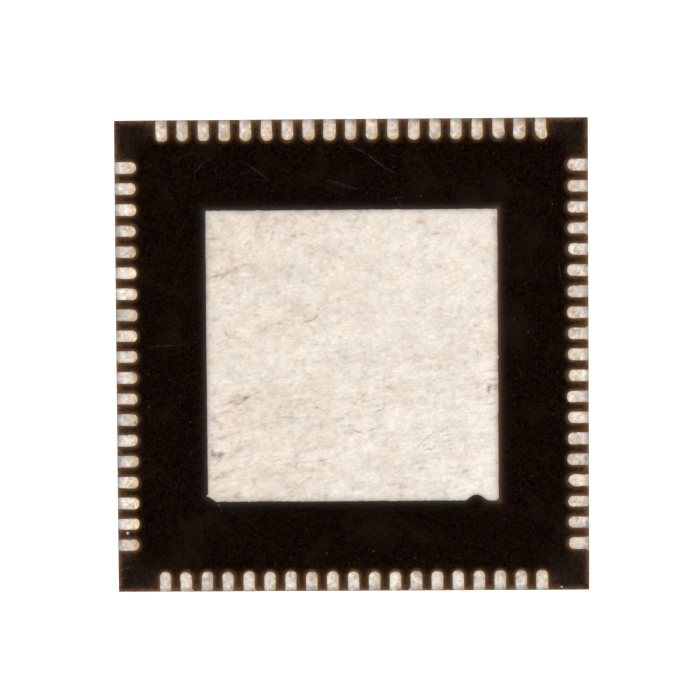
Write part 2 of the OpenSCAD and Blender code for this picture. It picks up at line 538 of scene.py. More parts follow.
east_out = ragged(grid_y, 11, *EAST_WANDER) + BUMP_OUT * bell((grid_y - BUMP_Y) / BUMP_HALF)
west_out = ragged(grid_y, 13, *WEST_WANDER) + SPUR_OUT * bell((grid_y - SPUR_Y) / SPUR_HALF)
north_out = ragged(grid_x, 15, *LEVEL_WANDER)
south_out = ragged(grid_x, 17, *LEVEL_WANDER)
notch_in = NOTCH_DEPTH * bell((grid_x - NOTCH_X) / NOTCH_HALF)
pad_x = pad_x + beside(HALF_PAD - grid_x, EDGE_REACH) * east_out
pad_x = pad_x - beside(HALF_PAD + grid_x, EDGE_REACH) * west_out
pad_y = pad_y + beside(HALF_PAD - grid_y, EDGE_REACH) * north_out
pad_y = pad_y - beside(HALF_PAD + grid_y, EDGE_REACH) * south_out
pad_y = pad_y + beside(HALF_PAD + grid_y, NOTCH_REACH) * notch_in
print(f"pad outline {pad_x.max() - pad_x.min():.3f} x {pad_y.max() - pad_y.min():.3f} mm")

# %% [markdown]
# ## Skin of the pad: mottle
#
# The pad isn't even. Its tone drifts slowly from place to place, painted light makes it a little
# brighter towards the right and the lower right, where it is also a little cooler, and a fine mottle
# lies over all of it, which turns streaky towards the south edge. All of this becomes three values at
# each point of the grid: a height in micrometres, a tone and a stain. Soft noises of growing size are
# added up, each as strong as the photograph shows at that size. A streak is such a noise too,
# stretched along the direction in which the sheet was rolled.

# %% Mottle of the pad
BLOBS = ((0.03, 0.018), (0.06, 0.046), (0.12, 0.052), (0.25, 0.033), (0.5, 0.024), (1.1, 0.019),
         (2.2, 0.012))
STREAKS = ((0.03, 5, 0.02), (0.06, 5, 0.036), (0.2, 6, 0.022))
STREAK_SHARE, STREAK_FALL = 1.0, 0.6
HUMPS = ((0.05, 0.6), (0.35, 1.2))
RIGHT_PAINTED_LIGHT, CORNER_PAINTED_LIGHT = 0.016, 0.035
RIGHT_STAIN, CORNER_STAIN = -0.025, -0.06

height = np.zeros_like(grid_x)
to_right = grid_x / HALF_PAD
to_corner = ((grid_x - grid_y) / PAD_SIDE).clip(0)
# painted light: the pad is brighter towards the right and the lower right
tone = RIGHT_PAINTED_LIGHT * to_right + CORNER_PAINTED_LIGHT * to_corner ** 2
stain = RIGHT_STAIN * to_right + CORNER_STAIN * to_corner ** 2
flow_x = grid_x * math.cos(ROLLING_ANGLE) + grid_y * math.sin(ROLLING_ANGLE)
flow_y = grid_y * math.cos(ROLLING_ANGLE) - grid_x * math.sin(ROLLING_ANGLE)

for seed, (blob, strength) in enumerate(BLOBS, 21):
    tone += strength * rough(grid_x, grid_y, blob, seed)
streak_share = STREAK_SHARE - STREAK_FALL * grid_y / HALF_PAD
for seed, (blob, stretch, strength) in enumerate(STREAKS, 31):
    streak = streak_share * rough(flow_x / stretch, flow_y, blob, seed)
    tone += strength * streak
    height += streak
for seed, (blob, rise) in enumerate(HUMPS, 41):
    height += rise * rough(grid_x, grid_y, blob, seed)
print(f"mottle: tone varies by {100 * tone.std():.1f} percent")

# %% [markdown]
# ## Skin of the pad: rubs
#
# Handling has rubbed the soft tin. Thousands of short hair-fine rubs, most of them rising to the
# right at a shallow angle, give the pad its fibrous look, with some dark pits and some longer rubs
# among them, most of those in the lower half. They could be painted by hand. Strewn at random from a
# fixed seed they take one short function, and each run gives the same pad.

# %% Rubs of the pad
RUB_ANGLE, RUB_ANGLE_SPREAD = 9, 22
RUB_DEPTH = 15
LIGHT_SHARE = 0.7
FADED_OUT = 3
SHORTEST_RUN = 1e-9
FINE_RUB = (0.010, 0.018)


def draw_mark(field, start, end, half_width, strength):
    """Adds a soft-edged line from start to end to a field over the pad."""
    start, run = np.array(start), np.subtract(end, start)
    left, right = np.searchsorted(steps, sorted((start[0], end[0]))) + (0, 1)
    low, high = np.searchsorted(steps, sorted((start[1], end[1]))) + (0, 1)
    cells = int(FADED_OUT * half_width / (steps[1] - steps[0])) + 1
    window = (slice(max(low - cells, 0), high + cells), slice(max(left - cells, 0), right + cells))
    x, y = grid_x[window] - start[0], grid_y[window] - start[1]
    along = np.clip((x * run[0] + y * run[1]) / max(run @ run, SHORTEST_RUN), 0, 1)
    away = np.hypot(x - along * run[0], y - along * run[1])
    field[window] += strength * np.exp(-(away / half_width) ** 2)


def strew_rubs(count, half_run, half_widths, strengths, dark_share, seed, top=HALF_PAD):
    """Strews rubs over the pad below a top line. The dark ones are also pressed into it."""
    chance = np.random.default_rng(seed)
    for rub in range(count):
        middle = chance.uniform((-HALF_PAD, -HALF_PAD), (HALF_PAD, top))
        angle = math.radians(chance.normal(RUB_ANGLE, RUB_ANGLE_SPREAD))
        reach = chance.gamma(2.0, half_run / 2) * np.array((math.cos(angle), math.sin(angle)))
        half_width = chance.uniform(*half_widths)
        strength = chance.uniform(*strengths)
        if chance.random() < dark_share:
            draw_mark(tone, middle - reach, middle + reach, half_width, -strength)
            draw_mark(height, middle - reach, middle + reach, half_width, -RUB_DEPTH * strength)
        else:
            draw_mark(tone, middle - reach, middle + reach, half_width, LIGHT_SHARE * strength)


strew_rubs(3600, half_run=0.024, half_widths=FINE_RUB, strengths=(0.015, 0.06), dark_share=0.55, seed=5)
strew_rubs(220, half_run=0.09, half_widths=FINE_RUB, strengths=(0.03, 0.07), dark_share=0.8, seed=6)
strew_rubs(700, half_run=0.014, half_widths=(0.018, 0.036), strengths=(0.03, 0.115), dark_share=1.0,
           seed=7)
strew_rubs(160, half_run=0.13, half_widths=(0.010, 0.016), strengths=(0.03, 0.07), dark_share=0.7,
           seed=8, top=0.2)
print(f"with rubs the tone varies by {100 * tone.std():.1f} percent")

# %% [markdown]
# ## Skin of the pad: marks that stand out
#
# Some marks on this pad stand out and belong where they are: tan smears near the left edge, a thin
# hair line above the middle, a brown spot by the right edge, grey scuffs in the upper left. Each is
# written down with its two ends in millimetres from the pad's middle, half its width and its
# strength. One soft line per mark would look like a stroke of a marker pen. So each mark is drawn
# as a loose bundle of strands, and breaks up as a real smear does.

# %% Tan smears and brown spots of the pad
TAN_SMEARS = (
    ((-2.70, 1.48), (-2.42, 1.57), 0.04, 0.17), ((-2.40, 1.59), (-2.10, 1.68), 0.035, 0.19),
    ((-2.30, 1.85), (-2.24, 1.83), 0.03, 0.14), ((-2.51, 1.72), (-2.46, 1.69), 0.025, 0.16),
    ((-2.05, 1.76), (-1.84, 1.75), 0.03, 0.1), ((-2.29, 2.38), (-2.24, 2.22), 0.03, 0.08),
    ((-2.33, -0.80), (-2.13, -0.76), 0.03, 0.16), ((-2.41, -0.90), (-2.18, -0.82), 0.03, 0.16),
    ((-2.24, -0.94), (-2.12, -0.88), 0.025, 0.16), ((-2.42, -0.98), (-1.95, -0.70), 0.08, 0.06),
    ((-1.91, -0.66), (-1.77, -0.66), 0.03, 0.14), ((-2.35, -1.04), (-2.34, -1.03), 0.04, 0.09),
    ((-2.67, -2.34), (-2.50, -2.29), 0.025, 0.17), ((-2.56, -2.27), (-2.42, -2.22), 0.022, 0.17),
    ((-2.42, -2.22), (-2.19, -2.11), 0.03, 0.13), ((-2.50, -2.31), (-2.30, -2.27), 0.025, 0.1),
    ((-2.33, -1.92), (-2.13, -1.78), 0.025, 0.1), ((-1.89, -2.33), (-1.91, -2.42), 0.04, 0.13),
    ((-1.70, 2.64), (-1.62, 2.66), 0.06, 0.12), ((-1.12, 2.58), (-1.06, 2.53), 0.03, 0.16),
    ((1.83, -1.24), (2.08, -1.22), 0.035, 0.12), ((1.57, -1.38), (1.63, -1.38), 0.03, 0.12),
    ((2.44, -2.41), (2.45, -2.42), 0.04, 0.12), ((-2.69, -1.18), (-2.56, -1.28), 0.05, 0.1),
    ((-1.67, -0.43), (-1.51, -0.54), 0.05, 0.09), ((1.19, 2.56), (1.51, 2.56), 0.05, 0.09),
    ((2.71, 2.59), (2.72, 2.62), 0.04, 0.14), ((0.66, -0.61), (0.75, -0.57), 0.045, 0.1),
    ((2.67, -0.60), (2.70, -0.62), 0.025, 0.14),
)
BROWN_SPOTS = (
    ((-2.71, -1.80), (-2.63, -1.92), 0.03, 0.32), ((-2.69, -1.92), (-2.50, -1.88), 0.035, 0.28),
    ((-2.53, -1.93), (-2.57, -2.03), 0.02, 0.16), ((2.59, -0.67), (2.64, -0.59), 0.035, 0.3),
    ((2.60, -0.70), (2.60, -0.65), 0.02, 0.2), ((2.71, -0.58), (2.74, -0.59), 0.02, 0.22),
    ((2.71, -0.65), (2.75, -0.65), 0.02, 0.22), ((2.59, -0.44), (2.67, -0.47), 0.02, 0.2),
    ((2.67, -0.47), (2.73, -0.45), 0.018, 0.2), ((2.52, -0.51), (2.53, -0.51), 0.025, 0.14),
    ((-2.27, -2.65), (-2.14, -2.64), 0.045, 0.14), ((-0.73, 2.69), (-0.60, 2.69), 0.03, 0.2),
    ((-2.07, -0.81), (-2.01, -0.80), 0.028, 0.26), ((-2.06, -0.81), (-2.09, -0.88), 0.018, 0.18),
)
print(len(TAN_SMEARS), "tan smears and", len(BROWN_SPOTS), "brown spots")

# %% Grey scuffs of the pad
GREY_SCUFFS = (
    ((-2.72, 2.22), (-2.54, 2.24), 0.035, 0.16), ((-1.78, 2.48), (-1.77, 2.48), 0.055, 0.11),
    ((-1.62, 2.38), (-1.57, 2.40), 0.04, 0.15), ((-1.46, 2.63), (-1.41, 2.62), 0.05, 0.14),
    ((-1.55, 2.22), (-1.45, 2.25), 0.035, 0.13), ((-2.03, 2.13), (-1.95, 2.16), 0.04, 0.12),
    ((-1.19, 2.27), (-1.07, 2.31), 0.025, 0.12), ((-0.99, 2.30), (-0.84, 2.32), 0.025, 0.12),
    ((-1.48, 2.35), (-1.47, 2.34), 0.03, 0.13), ((-2.27, 1.37), (-2.19, 1.34), 0.04, 0.13),
    ((-1.48, 0.60), (-1.33, 0.65), 0.03, 0.12), ((-1.96, 0.79), (-1.78, 0.78), 0.02, 0.1),
    ((-1.41, 0.95), (-1.40, 0.95), 0.03, 0.11), ((-1.68, 1.03), (-1.67, 1.03), 0.04, 0.1),
    ((-0.26, 1.08), (-0.25, 1.08), 0.03, 0.14), ((-2.69, 0.70), (-2.52, 0.70), 0.025, 0.12),
    ((-0.57, 0.87), (-0.53, 0.88), 0.03, 0.12), ((-0.48, 0.85), (-0.46, 0.84), 0.03, 0.15),
    ((-0.91, 0.76), (-0.86, 0.74), 0.045, 0.1), ((-2.56, -1.09), (-2.41, -1.06), 0.025, 0.12),
    ((-2.45, 0.52), (-2.36, 0.36), 0.018, 0.1), ((1.51, 2.31), (1.69, 2.31), 0.03, 0.14),
    ((0.94, 2.08), (0.95, 2.08), 0.04, 0.1), ((0.73, 1.68), (0.74, 1.68), 0.035, 0.1),
    ((1.74, 1.29), (1.75, 1.35), 0.035, 0.13), ((0.88, 1.33), (0.88, 1.24), 0.03, 0.1),
    ((0.07, 2.54), (0.08, 2.58), 0.06, 0.1), ((2.37, 0.06), (2.38, 0.06), 0.025, 0.16),
    ((2.43, -0.34), (2.64, -0.28), 0.025, 0.12), ((-2.52, -2.58), (-2.42, -2.57), 0.035, 0.12),
    ((-1.98, -0.35), (-1.97, -0.35), 0.03, 0.13), ((-0.75, -0.51), (-0.74, -0.51), 0.04, 0.11),
    ((-1.57, -1.57), (-1.54, -1.56), 0.03, 0.13), ((-0.07, -1.32), (-0.05, -1.32), 0.035, 0.15),
    ((0.08, -0.83), (0.16, -0.81), 0.03, 0.16), ((0.16, -0.80), (0.28, -0.70), 0.035, 0.14),
    ((0.00, -0.98), (0.10, -0.88), 0.025, 0.1), ((0.43, -1.07), (0.56, -1.02), 0.022, 0.15),
    ((0.44, -1.22), (0.47, -1.22), 0.045, 0.13), ((0.30, -1.44), (0.54, -1.36), 0.03, 0.11),
    ((1.10, -1.31), (1.30, -1.30), 0.03, 0.12), ((1.73, -1.53), (1.90, -1.49), 0.025, 0.12),
    ((1.41, -1.80), (1.52, -1.78), 0.03, 0.22), ((1.52, -1.77), (1.56, -1.73), 0.03, 0.14),
    ((2.60, -0.95), (2.70, -0.92), 0.025, 0.12), ((2.11, -2.58), (2.12, -2.58), 0.05, 0.1),
)
print(len(GREY_SCUFFS), "grey scuffs")

# %% Hair lines, dots, pale spots and a painted glint of the pad
HAIR_LINES = (
    ((-0.95, 0.62), (-0.88, 0.66), 0.016, 0.13), ((-0.88, 0.66), (-0.74, 0.69), 0.016, 0.16),
    ((-0.74, 0.69), (-0.59, 0.82), 0.018, 0.15), ((-2.65, 1.03), (-2.34, 1.02), 0.018, 0.1),
    ((-1.68, -2.09), (-0.61, -2.01), 0.022, 0.09), ((-0.61, -2.01), (0.02, -1.75), 0.022, 0.09),
    ((-1.51, -1.17), (-1.14, -1.16), 0.016, 0.12), ((-0.89, -1.18), (-0.62, -0.93), 0.02, 0.1),
    ((-0.02, -1.40), (0.08, -1.45), 0.014, 0.2), ((0.08, -1.45), (0.24, -1.49), 0.014, 0.22),
    ((1.24, -1.74), (1.36, -1.62), 0.018, 0.14), ((1.36, -1.62), (1.53, -1.48), 0.018, 0.15),
    ((1.63, -1.49), (1.80, -1.39), 0.02, 0.15), ((-2.03, -0.80), (-1.93, -0.75), 0.02, 0.16),
    ((-1.93, -0.75), (-1.78, -0.68), 0.03, 0.1),
)
DARK_DOTS = (
    (1.40, 1.90), (1.71, 1.40), (0.55, 1.16), (0.84, 0.86), (1.84, 1.14), (0.90, -2.50), (0.45, -0.65),
    (-0.67, 1.35), (-1.60, 1.53), (-1.90, 1.61), (-1.85, 1.05), (-1.31, 0.55), (-1.11, -0.32),
    (0.26, -1.14), (0.86, -0.57), (2.05, -1.62), (2.13, -1.83), (-2.00, -1.98), (-1.78, -1.98),
    (-2.41, -1.77), (-0.52, 0.50), (-0.27, 0.62), (-2.51, -1.38), (2.56, -0.86), (2.26, -0.70),
)
# pale spots; the one at (1.50, -1.68) is a painted glint
PALE_SPOTS_AND_GLINT = (
    (-2.07, 2.32), (-2.25, -2.51), (2.26, -2.57), (1.50, -1.68), (-2.70, -2.12), (1.72, -2.15),
    (1.90, -1.74), (-0.42, 1.12), (-1.06, 0.57), (-2.42, -2.37), (0.82, -1.10), (-2.49, 2.27),
    (-1.96, 2.25),
)
print(len(HAIR_LINES), "hair lines,", len(DARK_DOTS), "dots and", len(PALE_SPOTS_AND_GLINT), "light spots")

# %% Marks as bundles of strands
STRANDS, STRANDS_PER_MM, STRANDS_PER_WIDTH = 5, 50, 240
STRAND_RUN, SHORTEST_STRAND, LONGEST_STRAND = 0.3, 0.012, 0.1
STRAND_SCATTER, STRAND_FAN, FAN_PER_WIDTH = 0.6, 0.35, 10
STRAND_RUNS, STRAND_WIDTHS, STRAND_SHARES = (0.3, 1), (0.2, 0.5), (0.15, 0.6)
FINEST_STRAND = 0.011
SPOT_LENGTH = 0.03
DOT_WIDTH, DOT_STRENGTH = 0.02, 0.09
LIGHT_WIDTH, LIGHT_STRENGTH = 0.04, 0.06
SMEAR_SPREAD = 1.4
TAN_STAIN, TAN_SHADE = 0.22, 0.45
BROWN_SHADE, BROWN_DEPTH = 0.64, 3
GREY_DEPTH = 8
SCUFF_SPREAD, SCUFF_STRENGTH = 0.8, 0.7
HAIR_SPREAD, HAIR_STRENGTH = 0.6, 0.5
BRIGHT_LIMIT = 0.8


def draw_smear(chance, start, end, half_width, amounts):
    """Draws a mark as a bundle of strands into several fields, by an amount for each field."""
    start, run = np.array(start), np.subtract(end, start)
    length = np.hypot(*run)
    lie = math.atan2(run[1], run[0]) if length > SPOT_LENGTH else math.radians(RUB_ANGLE)
    for strand in range(int(STRANDS + STRANDS_PER_MM * length + STRANDS_PER_WIDTH * half_width)):
        middle = start + chance.uniform() * run + chance.normal(0, STRAND_SCATTER * half_width, 2)
        angle = lie + chance.normal(0, min(STRAND_FAN, FAN_PER_WIDTH * half_width))
        reach = min(LONGEST_STRAND, STRAND_RUN * length + SHORTEST_STRAND) * chance.uniform(*STRAND_RUNS)
        reach = reach * np.array((math.cos(angle), math.sin(angle)))
        strand_width = max(chance.uniform(*STRAND_WIDTHS) * half_width, FINEST_STRAND)
        share = chance.uniform(*STRAND_SHARES)
        for field, amount in amounts:
            draw_mark(field, middle - reach, middle + reach, strand_width, share * amount)


chance = np.random.default_rng(9)
for start, end, half_width, strength in TAN_SMEARS:
    tan = ((stain, TAN_STAIN * strength), (tone, -TAN_SHADE * strength))
    draw_smear(chance, start, end, SMEAR_SPREAD * half_width, tan)
for start, end, half_width, strength in BROWN_SPOTS:
    brown = ((tone, -BROWN_SHADE * strength), (height, -BROWN_DEPTH * strength))
    draw_smear(chance, start, end, SMEAR_SPREAD * half_width, brown)
for marks, widening, share in ((GREY_SCUFFS, SCUFF_SPREAD, SCUFF_STRENGTH),
                               (HAIR_LINES, HAIR_SPREAD, HAIR_STRENGTH)):
    for start, end, half_width, strength in marks:
        grey = ((tone, -share * strength), (height, -GREY_DEPTH * share * strength))
        draw_smear(chance, start, end, widening * half_width, grey)
dark = ((tone, -DOT_STRENGTH), (height, -GREY_DEPTH * DOT_STRENGTH))
for spot in DARK_DOTS:
    draw_smear(chance, spot, spot, DOT_WIDTH, dark)
for spot in PALE_SPOTS_AND_GLINT:
    draw_smear(chance, spot, spot, LIGHT_WIDTH, ((tone, LIGHT_STRENGTH),))
tone -= tone.mean()
tone[tone > 0] *= BRIGHT_LIMIT
tone -= tone.mean()
stain += (STAIN_MEAN - STAIN_PER_TONE * tone).clip(0)
print(f"with all marks the tone varies by {100 * tone.std():.1f} percent")

# %% [markdown]
# ## Pad with its rim and tie bars
#
# Below the exposed skin the pad's wall goes down into the moulding to a half-etched plate: a rim
# that the moulding grips, with a bar out to each corner of the body, where the saw cut it off and
# left bare copper showing on the walls. One closed mesh holds all of it. The border of the grid is
# let down to the plate. One face at each corner and one along each side make the plate's ledge round
# the pad, and the few faces on the body's walls take the sawn finish. A polygon with a hole would
# give the same ledge, but cutting it into triangles along a ragged border can leave faults.

# %% Skin of the pad as points
EDGE_ROLL = 0.008
EDGE_WIDTH = 0.03
EDGE_SHADE, SHADE_REACH = 0.5, 0.05
EAST_STAIN, WEST_STAIN, NORTH_STAIN = 0.45, -0.1, -0.05
MOST_PAD_STAIN = 0.8

border_distance = np.minimum(HALF_PAD - abs(grid_x), HALF_PAD - abs(grid_y))
edge_share = np.clip(1 - border_distance / EDGE_WIDTH, 0, 1)
skin_drop = (height.max() - height) * MICRON + EDGE_ROLL * edge_share ** 2
skin = np.stack((pad_x, pad_y, Z_TERMINAL - skin_drop), axis=-1).reshape(-1, 3)
skin_tone = (1 + tone) * (1 - EDGE_SHADE * np.exp(-border_distance / SHADE_REACH))
stain += EAST_STAIN * np.exp((grid_x - HALF_PAD) / SHADE_REACH)
stain += WEST_STAIN * np.exp(-(grid_x + HALF_PAD) / SHADE_REACH)
stain += NORTH_STAIN * np.exp((grid_y - HALF_PAD) / SHADE_REACH)
stain = stain.clip(0, MOST_PAD_STAIN)
print(f"skin lies up to {1000 * skin_drop.max():.0f} micrometres below the terminal level")

# %% Plan of the plate and helpers for faces
WALLS_PER_CORNER = 5


def plate_plan():
    """Corners of the half-etched plate, counterclockwise, five for each corner of the body."""
    rim = HALF_PAD + RIM_WIDTH
    bar = TIE_BAR_WIDTH / math.sqrt(2)
    corner = ((rim, rim - bar), (HALF_BODY, HALF_BODY - bar), (HALF_BODY, HALF_BODY),
              (HALF_BODY - bar, HALF_BODY), (rim - bar, rim))
    turns = ((1, 0), (0, 1), (-1, 0), (0, -1))
    return [(c * x - s * y, s * x + c * y) for c, s in turns for x, y in corner]


def quads(index):
    """Four-sided faces over a table of point numbers."""
    corners = (index[:-1, :-1], index[:-1, 1:], index[1:, 1:], index[1:, :-1])
    return np.stack(corners, axis=-1).reshape(-1, 4).tolist()


def band(low, high):
    """Faces of a closed wall between two loops of point numbers."""
    return np.stack((low, np.roll(low, -1), np.roll(high, -1), high), axis=-1).tolist()


plan = plate_plan()
print("plan of the plate has", len(plan), "corners")

# %% Pad with its rim and tie bars
SAWN_WALLS = (1, 2)
SIDES = 4

index = np.arange((GRID + 1) ** 2).reshape(GRID + 1, GRID + 1)
border = np.concatenate((index[0, :-1], index[:-1, -1], index[-1, :0:-1], index[:0:-1, 0]))
foot = skin[border] * (1, 1, 0) + (0, 0, Z_ETCH)
plate_top = np.array([(x, y, Z_ETCH) for x, y in plan])
plate_bottom = np.array([(x, y, Z_FRAME) for x, y in plan])
foot_index = len(skin) + np.arange(len(foot))
top_index = foot_index[-1] + 1 + np.arange(len(plan))
bottom_index = top_index + len(plan)

faces = quads(index) + band(foot_index, border)
first_wall = len(faces)
faces += band(bottom_index, top_index)
# The plan starts in the north-east and the border in the south-west, two corners on.
for corner in range(SIDES):
    start = (corner + SIDES // 2) % SIDES * GRID
    tie_bar = top_index[WALLS_PER_CORNER * corner:][:WALLS_PER_CORNER].tolist()
    next_bar = int(top_index[WALLS_PER_CORNER * (corner + 1) % len(plan)])
    side = foot_index.take(range(start + GRID, start - 1, -1), mode="wrap").tolist()
    faces += [[side[-1], *tie_bar], [tie_bar[-1], next_bar, *side]]
faces.append(bottom_index[::-1].tolist())

pad_finish = np.zeros(len(faces), dtype=int)
for wall in range(len(plan)):
    if wall % WALLS_PER_CORNER in SAWN_WALLS:
        pad_finish[first_wall + wall] = 1
points = np.concatenate((skin, foot, plate_top, plate_bottom))
hidden = len(points) - len(skin)
skin_values = {"tone": np.concatenate((skin_tone.ravel(), np.ones(hidden))),
               "stain": np.concatenate((stain.ravel(), np.zeros(hidden)))}
add_piece("thermal_pad", points, faces, (matte_tin, sawn_copper),
          ("die_paddle",), pad_finish, skin_values)

# %% [markdown]
# ## One lead
#
# Each lead shows a slim terminal with a round inner end. No two are the same: the etch leaves some
# ends nearly square, the saw smears the soft copper sideways at the outer end, and the plating is
# warmer round the tip. A row could be one lead and an array, but then all would be equal. Here each
# lead is drawn by one function from a few numbers of its own. Its rings shrink towards the middle
# line of the lead, which gives a rolled edge and an even mesh without any trimming.

# %% Plan of one lead
SIDE_STEPS = 13
TIP_STEPS = 28
CUT_STEPS = (0, 0.012, 0.03, 0.05)
SMEAR_REACH = 0.075
BULGE_PLACE, BULGE_HALF = 0.06, 0.12
BURR_OUT = 0.0015
SAW_PLANE = HALF_BODY + BURR_OUT


def lead_plan(half_width, tip_y, squareness, lean, taper, bulge, smear_left, smear_right):
    """Places round a lead of the north row, from the saw cut round the tip and back to the cut."""
    round_y = tip_y + half_width
    side = np.concatenate((SAW_PLANE - np.array(CUT_STEPS),
                           np.linspace(SAW_PLANE - CUT_STEPS[-1], round_y, SIDE_STEPS + 1)[1:-1]))
    turn = np.linspace(0, math.pi, TIP_STEPS + 1)
    across = np.sign(np.cos(turn)) * abs(np.cos(turn)) ** (2 / squareness)
    inwards = np.sin(turn).clip(0) ** (2 / squareness)
    x = half_width * np.concatenate((np.ones(len(side)), across, -np.ones(len(side))))
    y = np.concatenate((side, round_y - half_width * inwards, side[::-1]))
    bulging = bulge * bell((y - round_y - BULGE_PLACE) / BULGE_HALF)
    x *= 1 - taper * ease((y - tip_y) / LEAD_LENGTH) + bulging
    x += lean * ease((round_y + half_width - y) / (2 * half_width))
    smear = ease((y - SAW_PLANE) / SMEAR_REACH + 1)
    x += smear * np.where(x > 0, smear_right, -smear_left)
    in_tip = np.zeros(len(x), dtype=bool)
    in_tip[len(side) + 1:-len(side) - 1] = True
    return x, y, np.maximum(y, round_y), in_tip


plain_lead = {"half_width": LEAD_WIDTH / 2, "tip_y": HALF_BODY - LEAD_LENGTH, "squareness": 2.0,
              "lean": 0, "taper": 0, "bulge": 0, "smear_left": 0, "smear_right": 0}
print("round a lead there are", len(lead_plan(**plain_lead)[0]), "places")

# %% [markdown]
# ## Body of a lead
#
# Below its terminal a lead goes on into the moulding as a longer, half-etched tongue that keeps it
# from being pulled out. The rings over the terminal's face carry the tone and the stain: a mottle, a
# few dark specks, painted glints, a warm tip, painted shade along the sides and a dark painted shade
# line where the saw rolled the edge over. Resin has crept over the very end of each tip. So the face's
# wall stands on a narrow dark shelf, which fills the rest of the hole in the moulding. Four more rings
# go down the wall, out along the tongue and under the lead, and one face closes the end.

# %% Tone of one lead
# painted shade: a dark line at the sawn end and darker sides of each lead
CUT_SHADE, CUT_WIDTH = 0.4, 0.13
SIDE_SHADE, SIDE_POWER = 0.3, 6
LEAD_BLOBS = ((0.03, 0.10), (0.06, 0.14), (0.13, 0.12))
# painted highlights: bright glints on the tin
GLINT_SIZE, GLINT_LEVEL, PAINTED_GLINT_GAIN = 0.05, 0.4, 0.18
PIT_SIZE, PIT_LEVEL, PIT_SHADE = 0.045, 0.45, 0.2
SPECK_RAMP = 0.3


def lead_tone(x, y, share, seed, shift):
    """How bright a lead is at places on its face, next to its own mean."""
    mottled = sum(strength * rough(x + shift, y, blob, seed + step)
                  for step, (blob, strength) in enumerate(LEAD_BLOBS))
    # painted glints: bright specks of painted highlight
    painted_glints = ease((rough(x + shift, y, GLINT_SIZE, seed + 3) - GLINT_LEVEL) / SPECK_RAMP)
    pits = ease((rough(x + shift, y, PIT_SIZE, seed + 4) - PIT_LEVEL) / SPECK_RAMP)
    # painted shade along the sawn, rolled end of the lead
    painted_cut_shade = CUT_SHADE * ease((y - SAW_PLANE) / CUT_WIDTH + 1)
    specked = mottled + PAINTED_GLINT_GAIN * painted_glints - PIT_SHADE * pits
    return (1 + specked - SIDE_SHADE * share ** SIDE_POWER) * (1 - painted_cut_shade)


print("mottle of a lead has", len(LEAD_BLOBS), "sizes of blobs")

# %% Body of one lead
TOP_RINGS = (0, 0.13, 0.26, 0.39, 0.52, 0.64, 0.75, 0.85, 0.93, 1)
LEAD_TONGUE = LEAD_REACH - LEAD_LENGTH
SIDE_ROLL, CUT_ROLL = 0.2, 0.02
SKIN_BLOB = 0.05
SHELF_RISE = 0.004
WALL_TONE, SHELF_TONE, SHELF_STAIN = 0.26, 0.05, 1.0
SIDE_STAIN, MOST_STAIN = 0.16, 0.75
TIP_REACH, TIP_CORE = 0.28, 0.7


def lead_mesh(plan, foot, row, tone_here, seed, shift):
    """Points, faces, end face, tone and stain of one lead, drawn as in the north row."""
    x, y, middle_y, in_tip = plan
    rings, tones, stains = [], [], []
    for share in TOP_RINGS:
        ring_x, ring_y = share * x, middle_y + share * (y - middle_y)
        drop = EDGE_ROLL * (ease((share - 1) / SIDE_ROLL + 1) + ease((ring_y - SAW_PLANE) / CUT_ROLL + 1))
        drop += MICRON * (1 + rough(ring_x + shift, ring_y, SKIN_BLOB, seed + 5))
        rings.append(np.stack((ring_x, ring_y, Z_TERMINAL - drop), axis=-1))
        tone_there = lead_tone(ring_x, ring_y, share, seed, shift)
        tip = beside(ring_y - HALF_BODY + LEAD_LENGTH, TIP_REACH)
        tones.append(tone_here * tone_there * (1 + row["tip_gain"] * tip))
        browned = row["browning"] + STAIN_PER_TONE / 2 * (1 - tone_there)
        browned += row["warmth"] * tip * (TIP_CORE + (1 - TIP_CORE) * share ** 2)
        browned += SIDE_STAIN * share ** SIDE_POWER + row["side_warmth"] * ring_x / (LEAD_WIDTH / 2)
        stains.append(browned.clip(0, MOST_STAIN))
    foot_x, foot_y, middle_y, in_tip = foot
    tongue_y = np.where(in_tip, foot_y - LEAD_TONGUE, foot_y)
    below = ((x, y, Z_MOULDING + SHELF_RISE, WALL_TONE), (foot_x, foot_y, Z_MOULDING, SHELF_TONE),
             (foot_x, foot_y, Z_ETCH, SHELF_TONE), (foot_x, tongue_y, Z_ETCH, SHELF_TONE),
             (foot_x, tongue_y, Z_FRAME, SHELF_TONE), (0 * x, middle_y, Z_FRAME, SHELF_TONE))
    for ring_x, ring_y, level, share in below:
        rings.append(np.stack((ring_x, ring_y, np.full(len(x), level)), axis=-1))
        tones.append(np.full(len(x), share * tone_here))
        stains.append(np.full(len(x), SHELF_STAIN))
    index = np.arange(len(rings) * len(x)).reshape(len(rings), len(x))
    end = np.concatenate((index[:, 0], index[-2:0:-1, -1])).tolist()
    return np.concatenate(rings), quads(index), end, np.concatenate(tones), np.concatenate(stains)


print("the face of a lead has", len(TOP_RINGS), "rings")
